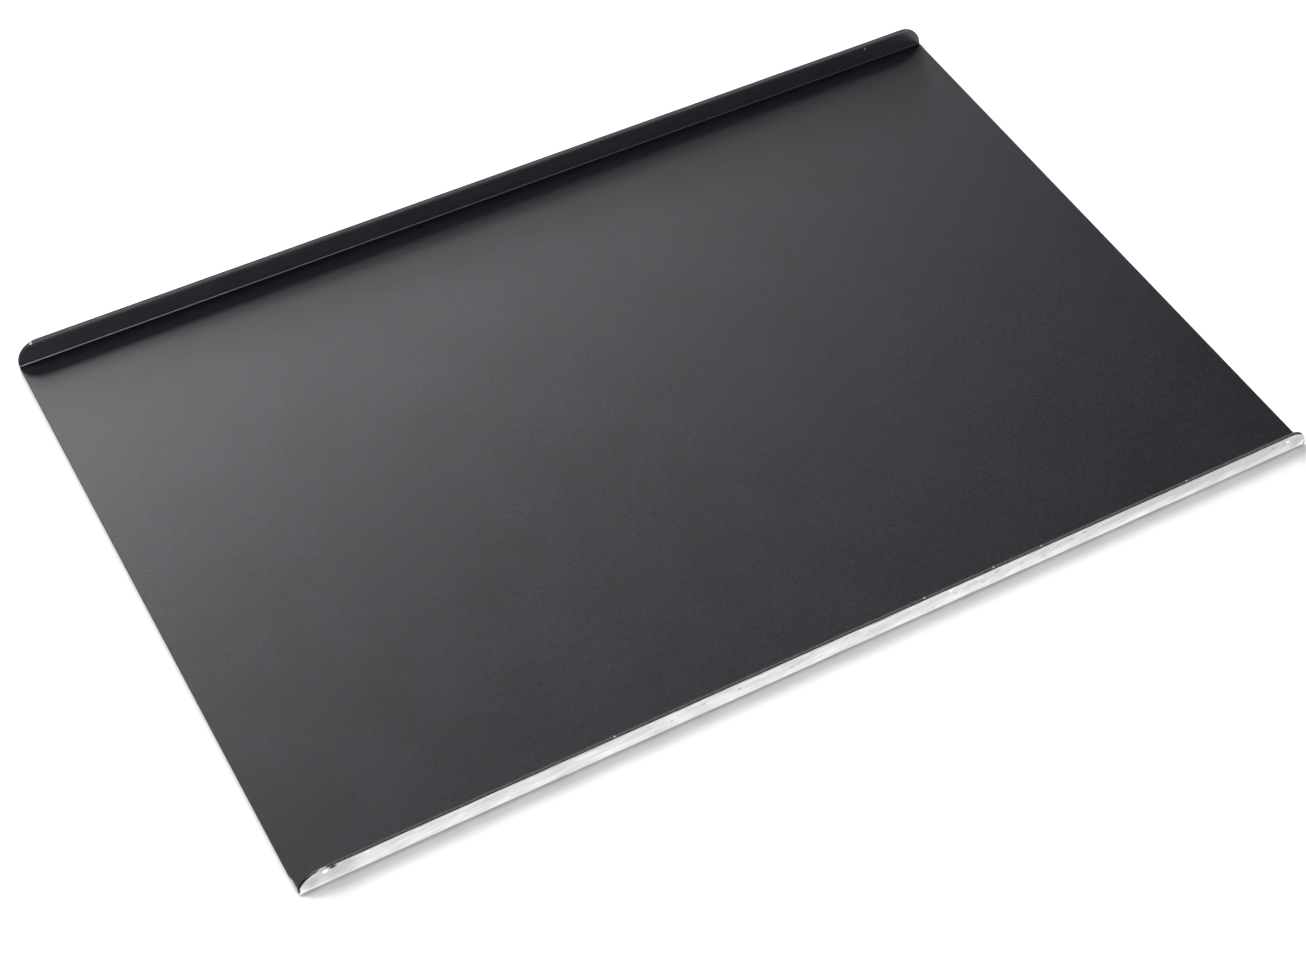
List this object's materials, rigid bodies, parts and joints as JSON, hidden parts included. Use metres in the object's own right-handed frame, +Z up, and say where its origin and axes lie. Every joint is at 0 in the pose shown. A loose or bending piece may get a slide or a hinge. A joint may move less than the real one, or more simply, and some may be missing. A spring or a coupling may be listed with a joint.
{
  "type": "cookie sheet",
  "caption": "Rectangular bent aluminium cookie sheet with black non-stick baking side, low flanges along both long sides and open, flat short sides.",
  "frame": {"origin": "middle of the footprint, on the face that the sheet rests on", "axes": "+X along the flanged long sides, +Y across them, +Z up out of the baking side"},
  "size_m": [0.6, 0.4, 0.016],
  "materials": {
    "bare_aluminium": "satin rolled aluminium, bare on the underside and on the outer face of both flanges",
    "nonstick_coating": "black non-stick film with a soft satin sheen"
  },
  "bodies": {
    "root": {"aluminium_sheet": "bare_aluminium", "nonstick_coating": "nonstick_coating"}
  },
  "joints": []
}
